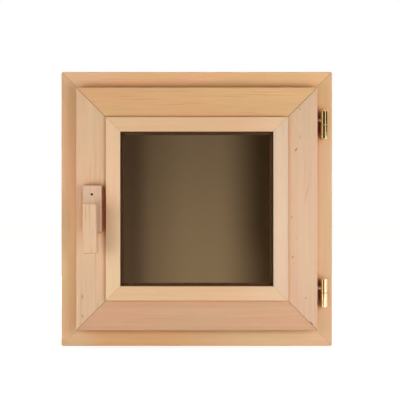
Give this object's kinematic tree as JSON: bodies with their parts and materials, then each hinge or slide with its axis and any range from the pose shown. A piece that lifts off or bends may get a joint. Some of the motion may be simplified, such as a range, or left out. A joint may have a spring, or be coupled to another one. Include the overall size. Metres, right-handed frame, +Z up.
{
  "type": "wooden casement window",
  "caption": "Small square casement window in pale wood: a mitred sash proud of its frame, a bronze-tinted pane, brass barrel hinges and a wooden turn handle.",
  "frame": {"origin": "middle of the frame's underside, at half the frame's depth", "axes": "+X to the viewer's right from the room side, +Y from the room into the wall, +Z up"},
  "size_m": [0.4, 0.143, 0.405],
  "materials": {
    "frame_wood": "planed",
    "sash_wood": "planed",
    "bead_wood": "planed",
    "handle_wood": "sanded",
    "bronze_glass": "polished",
    "glazing_seal": "matt",
    "hinge_brass": "polished",
    "latch_steel": "drawn",
    "screw_steel": "blackened"
  },
  "bodies": {
    "window": {"bead_bottom": "bead_wood", "bead_left": "bead_wood", "bead_right": "bead_wood", "bead_top": "bead_wood", "frame_head": "frame_wood", "frame_hinge_jamb": "frame_wood", "frame_latch_jamb": "frame_wood", "frame_sill": "frame_wood", "glass_pane": "bronze_glass", "glazing_seal_back": "glazing_seal", "glazing_seal_front": "glazing_seal", "hinge_lower_frame_knuckle": "hinge_brass", "hinge_lower_frame_stud": "hinge_brass", "hinge_lower_pin": "latch_steel", "hinge_lower_sash_knuckle": "hinge_brass", "hinge_lower_sash_stud": "hinge_brass", "hinge_upper_frame_knuckle": "hinge_brass", "hinge_upper_frame_stud": "hinge_brass", "hinge_upper_pin": "latch_steel", "hinge_upper_sash_knuckle": "hinge_brass", "hinge_upper_sash_stud": "hinge_brass", "latch_block": "handle_wood", "latch_screw_lower": "screw_steel", "latch_screw_upper": "screw_steel", "sash_bottom_rail": "sash_wood", "sash_hinge_stile": "sash_wood", "sash_latch_stile": "sash_wood", "sash_top_rail": "sash_wood"},
    "handle": {"latch_lever": "handle_wood", "latch_spindle": "latch_steel", "latch_tongue": "latch_steel"}
  },
  "joints": [
    {"name": "handle_turn", "type": "hinge", "parent": "window", "child": "handle", "pos_m": [-0.1514, -0.072, 0.2025], "axis": [0, -1, 0], "range_deg": [0, 90]}
  ]
}
